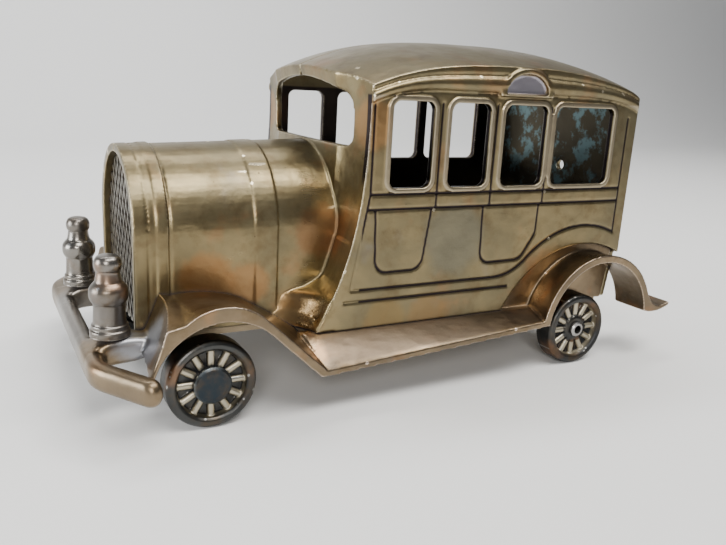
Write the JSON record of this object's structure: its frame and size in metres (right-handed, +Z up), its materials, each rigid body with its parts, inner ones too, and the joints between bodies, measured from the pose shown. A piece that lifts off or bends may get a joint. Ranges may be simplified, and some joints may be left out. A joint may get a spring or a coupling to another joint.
{
  "type": "car coin bank",
  "caption": "Cast brass coin bank shaped as a vintage limousine, with open windows, spoked wheels that turn, a roof slot and a trap below.",
  "frame": {"origin": "on the ground under the middle of the car, halfway between the bumper's front face and the rear fenders' tips", "axes": "+X towards the car's front, +Y towards its left side, +Z up"},
  "size_m": [0.2618, 0.1484, 0.1369],
  "materials": {
    "body_brass": "aged cast brass, polished on the ridges, dark in the cut lines",
    "grille_brass": "cast lattice, dark between the ridges",
    "chassis_brass": "dull cast brass",
    "fender_brass": "aged cast brass, bright along the edges",
    "bumper_brass": "worn cast brass, grey and gold",
    "post_metal": "turned brass with a grey nickel-like bloom",
    "wheel_brass": "dark cast brass, light on the spokes",
    "hub_cap_dark": "blued and dull",
    "axle_steel": "turned steel",
    "screw_steel": "slotted steel screws"
  },
  "bodies": {
    "chassis": {"body_left_half": "body_brass", "body_right_half": "body_brass", "radiator_grille": "grille_brass", "chassis_pan": "chassis_brass", "fender_left": "fender_brass", "fender_right": "fender_brass", "front_bumper": "bumper_brass", "lamp_post_left": "post_metal", "lamp_post_right": "post_metal", "front_axle": "axle_steel", "rear_axle": "axle_steel", "hub_cap_left": "hub_cap_dark", "hub_cap_right": "hub_cap_dark", "trap_pivot_screw": "screw_steel", "trap_lock_screw": "screw_steel", "tie_screws": "screw_steel", "pan_screws": "screw_steel"},
    "wheel_front_left": {"front_wheel_left": "wheel_brass"},
    "wheel_front_right": {"front_wheel_right": "wheel_brass"},
    "wheel_rear_left": {"rear_wheel_left": "wheel_brass"},
    "wheel_rear_right": {"rear_wheel_right": "wheel_brass"},
    "coin_trap": {"coin_trap_door": "chassis_brass"}
  },
  "joints": [
    {"name": "front_left_wheel_turn", "type": "hinge", "parent": "chassis", "child": "wheel_front_left", "pos_m": [0.0915, 0.0526, 0.016], "axis": [0, 1, 0], "continuous": true},
    {"name": "front_right_wheel_turn", "type": "hinge", "parent": "chassis", "child": "wheel_front_right", "pos_m": [0.0915, -0.0526, 0.016], "axis": [0, 1, 0], "continuous": true},
    {"name": "rear_left_wheel_turn", "type": "hinge", "parent": "chassis", "child": "wheel_rear_left", "pos_m": [-0.0772, 0.0526, 0.016], "axis": [0, 1, 0], "continuous": true},
    {"name": "rear_right_wheel_turn", "type": "hinge", "parent": "chassis", "child": "wheel_rear_right", "pos_m": [-0.0772, -0.0526, 0.016], "axis": [0, 1, 0], "continuous": true},
    {"name": "coin_trap_swing", "type": "hinge", "parent": "chassis", "child": "coin_trap", "pos_m": [0.022, 0, 0.0229], "axis": [0, 0, 1], "range_deg": [0, 120]}
  ]
}
